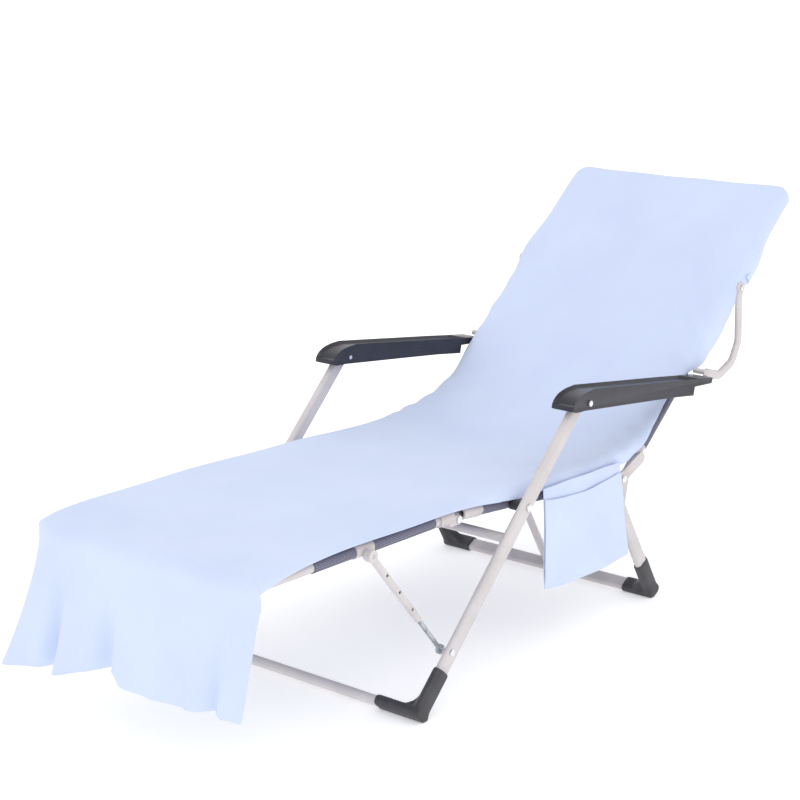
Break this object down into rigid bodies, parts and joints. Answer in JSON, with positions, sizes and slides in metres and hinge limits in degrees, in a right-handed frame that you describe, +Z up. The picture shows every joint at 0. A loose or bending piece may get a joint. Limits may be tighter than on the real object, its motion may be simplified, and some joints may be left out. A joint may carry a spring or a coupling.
{
  "type": "folding sun lounger",
  "caption": "Folding reclining sun lounger of oval steel tube with mesh bed, plastic armrests and a fitted towel cover with foot skirt, hood and side pockets.",
  "frame": {"origin": "middle of the whole object's footprint, on the ground", "axes": "+X towards the head end, +Y to the far side across the bed, +Z up"},
  "size_m": [1.7082, 0.6486, 0.7784],
  "materials": {
    "towel_cloth": "brushed cotton towelling",
    "mesh_fabric": "coated open weave",
    "armrest_plastic": "satin moulded",
    "foot_plastic": "satin moulded",
    "spacer_plastic": "satin",
    "zinc_steel": "zinc plated",
    "bolt_steel": "zinc plated",
    "moulded_nylon": "warm grey moulded",
    "ring_plastic": "translucent white",
    "frame_paint": "warm light grey powder coat"
  },
  "bodies": {
    "seat": {"far_seat_rail": "frame_paint", "near_seat_rail": "frame_paint", "seat_rear_cross_tube": "frame_paint", "seat_mesh": "mesh_fabric", "seat_mesh_sleeves": "mesh_fabric", "far_leg_rest_hinge_seat_half": "moulded_nylon", "near_leg_rest_hinge_seat_half": "moulded_nylon", "leg_rest_hinge_pins": "bolt_steel", "rear_hinge_plates": "moulded_nylon", "rear_hinge_rivets": "bolt_steel", "seat_pivot_spacers": "spacer_plastic", "seat_pivot_bolts": "bolt_steel", "towel_seat": "towel_cloth", "towel_side_pockets": "towel_cloth"},
    "leg_rest": {"leg_rest_foot_bar": "frame_paint", "far_leg_rest_rail": "frame_paint", "near_leg_rest_rail": "frame_paint", "leg_rest_mesh": "mesh_fabric", "leg_rest_mesh_sleeves": "mesh_fabric", "far_leg_rest_hinge_foot_half": "moulded_nylon", "near_leg_rest_hinge_foot_half": "moulded_nylon", "stay_saddles": "moulded_nylon", "towel_leg_rest": "towel_cloth", "towel_foot_skirt": "towel_cloth"},
    "back": {"far_back_rail": "frame_paint", "near_back_rail": "frame_paint", "back_top_bar": "frame_paint", "back_mesh": "mesh_fabric", "back_mesh_sleeves": "mesh_fabric", "back_hinge_lugs": "moulded_nylon", "back_rail_rings": "ring_plastic", "strut_brackets": "frame_paint", "strut_pins": "bolt_steel", "towel_back": "towel_cloth", "towel_back_hood": "towel_cloth"},
    "front_legs": {"far_front_leg": "frame_paint", "near_front_leg": "frame_paint", "front_floor_tube": "frame_paint", "far_front_foot": "foot_plastic", "near_front_foot": "foot_plastic", "front_leg_crossbar": "frame_paint", "crossbar_clip": "spacer_plastic", "stay_foot_bolts": "bolt_steel", "armrest_bolts": "bolt_steel"},
    "rear_legs": {"far_rear_leg": "frame_paint", "near_rear_leg": "frame_paint", "rear_floor_tube": "frame_paint", "far_rear_foot": "foot_plastic", "near_rear_foot": "foot_plastic", "rear_leg_cross_tube": "frame_paint", "rear_leg_centre_post": "frame_paint"},
    "armrests": {"far_armrest": "armrest_plastic", "near_armrest": "armrest_plastic"},
    "struts": {"far_back_strut": "frame_paint", "near_back_strut": "frame_paint"},
    "stay_tubes": {"far_stay_tube": "frame_paint", "near_stay_tube": "frame_paint"},
    "stay_bars": {"far_stay_bar": "zinc_steel", "near_stay_bar": "zinc_steel"}
  },
  "joints": [
    {"name": "recline", "type": "hinge", "parent": "seat", "child": "back", "pos_m": [0.23294, 0, 0.279], "axis": [0, -1, 0], "range_deg": [-36, 30]},
    {"name": "leg_rest_tilt", "type": "hinge", "parent": "seat", "child": "leg_rest", "pos_m": [-0.26206, 0, 0.323], "axis": [0, -1, 0], "range_deg": [0, 15]},
    {"name": "fold", "type": "hinge", "parent": "seat", "child": "front_legs", "pos_m": [-0.11306, 0, 0.315], "axis": [0, -1, 0], "range_deg": [0, 92]},
    {"name": "rear_leg_fold", "type": "hinge", "parent": "seat", "child": "rear_legs", "pos_m": [0.22394, 0, 0.24], "axis": [0, 1, 0], "range_deg": [0, 115]},
    {"name": "armrest_level", "type": "hinge", "parent": "front_legs", "child": "armrests", "pos_m": [0.05094, 0, 0.478], "axis": [0, 1, 0], "range_deg": [0, 92]},
    {"name": "strut_swing", "type": "hinge", "parent": "back", "child": "struts", "pos_m": [0.63494, 0, 0.592], "axis": [0, -1, 0], "range_deg": [-28.9, 24.1]},
    {"name": "stay_swing", "type": "hinge", "parent": "leg_rest", "child": "stay_tubes", "pos_m": [-0.51106, 0, 0.327], "axis": [0, 1, 0], "range_deg": [0, 6.5]},
    {"name": "stay_slide", "type": "slide", "parent": "stay_tubes", "child": "stay_bars", "axis": [0.6234, 0, -0.7819], "range_m": [-0.0535, 0]}
  ],
  "couplings": [
    {"joint": "rear_leg_fold", "follows": "fold", "ratio": 1.25},
    {"joint": "armrest_level", "follows": "fold", "ratio": 1},
    {"joint": "strut_swing", "follows": "recline", "ratio": 0.8},
    {"joint": "stay_swing", "follows": "leg_rest_tilt", "ratio": 0.4287},
    {"joint": "stay_slide", "follows": "leg_rest_tilt", "m_per_rad": -0.2013}
  ]
}
